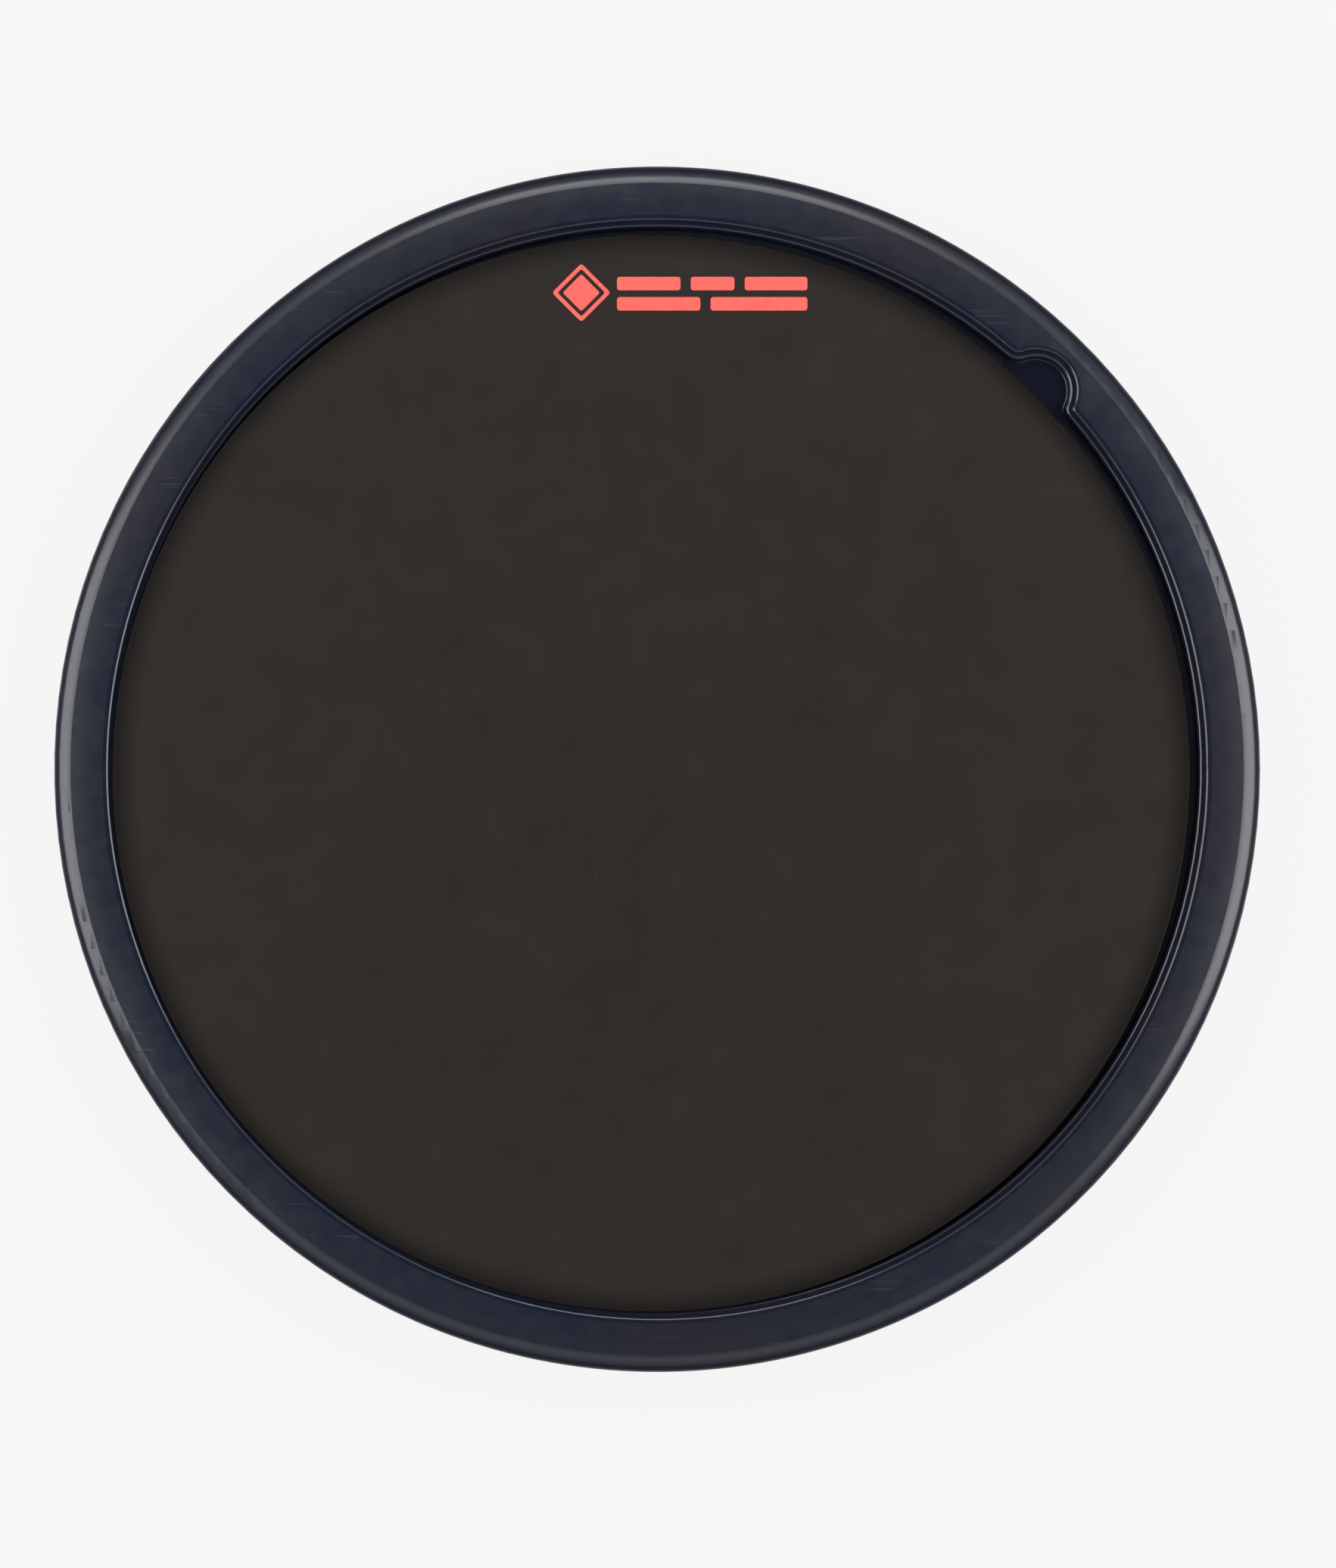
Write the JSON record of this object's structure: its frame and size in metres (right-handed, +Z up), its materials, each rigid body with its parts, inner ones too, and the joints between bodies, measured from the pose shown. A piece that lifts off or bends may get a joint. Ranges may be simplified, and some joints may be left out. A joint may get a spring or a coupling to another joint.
{
  "type": "practice pad",
  "caption": "Round drum practice pad: a moulded base with a recess and finger notch that holds a loose, lift-out playing disc.",
  "frame": {"origin": "middle of the circle that the rubber feet stand on, on the table", "axes": "+Z up out of the playing surface; the finger notch lies on the diagonal between +X and +Y, and +Y points to the printed mark"},
  "size_m": [0.3048, 0.3048, 0.024],
  "materials": {
    "shell_plastic": "satin, fine speckle",
    "cover_plastic": "fine texture",
    "screw_steel": "black zinc",
    "damping_foam": "closed-cell foam",
    "core_wood": "raw fibre board",
    "nut_steel": "zinc plated",
    "magnet_steel": "nickel plated",
    "foot_rubber": "matt",
    "plate_steel": "rolled sheet",
    "pad_rubber": "matt",
    "playing_skin": "satin"
  },
  "bodies": {
    "base": {"rim_shell": "shell_plastic", "recess_tray": "shell_plastic", "tray_screws": "screw_steel", "damping_sheet": "damping_foam", "core_board": "core_wood", "stand_nut": "nut_steel", "nut_screws": "screw_steel", "bottom_cover": "cover_plastic", "cover_screws": "screw_steel", "hold_magnet_1": "magnet_steel", "hold_magnet_2": "magnet_steel", "hold_magnet_3": "magnet_steel", "hold_magnet_4": "magnet_steel", "hold_magnet_5": "magnet_steel", "hold_magnet_6": "magnet_steel", "rubber_foot_1": "foot_rubber", "rubber_foot_2": "foot_rubber", "rubber_foot_3": "foot_rubber", "rubber_foot_4": "foot_rubber", "rubber_foot_5": "foot_rubber", "rubber_foot_6": "foot_rubber"},
    "swap_pad": {"backing_plate": "plate_steel", "rebound_layer": "pad_rubber", "playing_surface": "playing_skin"}
  },
  "joints": [
    {"name": "swap_pad_lift", "type": "slide", "parent": "base", "child": "swap_pad", "axis": [0, 0, 1], "range_m": [0, 0.03]}
  ]
}
